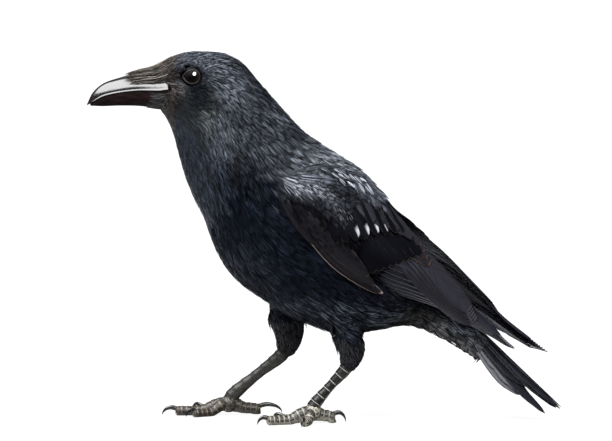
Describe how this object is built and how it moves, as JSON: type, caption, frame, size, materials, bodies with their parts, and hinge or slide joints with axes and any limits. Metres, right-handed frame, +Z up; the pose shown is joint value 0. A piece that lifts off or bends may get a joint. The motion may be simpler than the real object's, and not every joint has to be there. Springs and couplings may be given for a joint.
{
  "type": "crow",
  "caption": "Standing all-black crow, a still life-size model with folded wings, closed tail and bare scaled feet on the floor.",
  "frame": {"origin": "on the floor under the middle of the bird's box, between the feet and the tail", "axes": "+Z up, the bill points to -X and the tail to +X, the bird's left side faces -Y"},
  "size_m": [0.3642, 0.1024, 0.2838],
  "materials": {
    "body_plumage": "soft black feathers with a faint blue-violet gloss, greyer on the mantle and throat",
    "flight_feather": "stiff glossy black vanes with thin pale worn edges",
    "bill_horn": "polished black horn",
    "claw_horn": "black horn, satin",
    "leg_scale": "dark grey scutes with pale dry edges",
    "eye": "wet, near-black brown"
  },
  "bodies": {
    "root": {"head": "body_plumage", "neck": "body_plumage", "torso": "body_plumage", "bill_upper": "bill_horn", "bill_lower": "bill_horn", "eye_left": "eye", "eye_right": "eye", "wing_left": "flight_feather", "wing_right": "flight_feather", "tail": "flight_feather", "thigh_left": "body_plumage", "tarsus_left": "leg_scale", "toe_left_3": "leg_scale", "claw_left_3": "claw_horn", "toe_left_2": "leg_scale", "claw_left_2": "claw_horn", "toe_left_4": "leg_scale", "claw_left_4": "claw_horn", "toe_left_1": "leg_scale", "claw_left_1": "claw_horn", "thigh_right": "body_plumage", "tarsus_right": "leg_scale", "toe_right_3": "leg_scale", "claw_right_3": "claw_horn", "toe_right_2": "leg_scale", "claw_right_2": "claw_horn", "toe_right_4": "leg_scale", "claw_right_4": "claw_horn", "toe_right_1": "leg_scale", "claw_right_1": "claw_horn"}
  },
  "joints": []
}
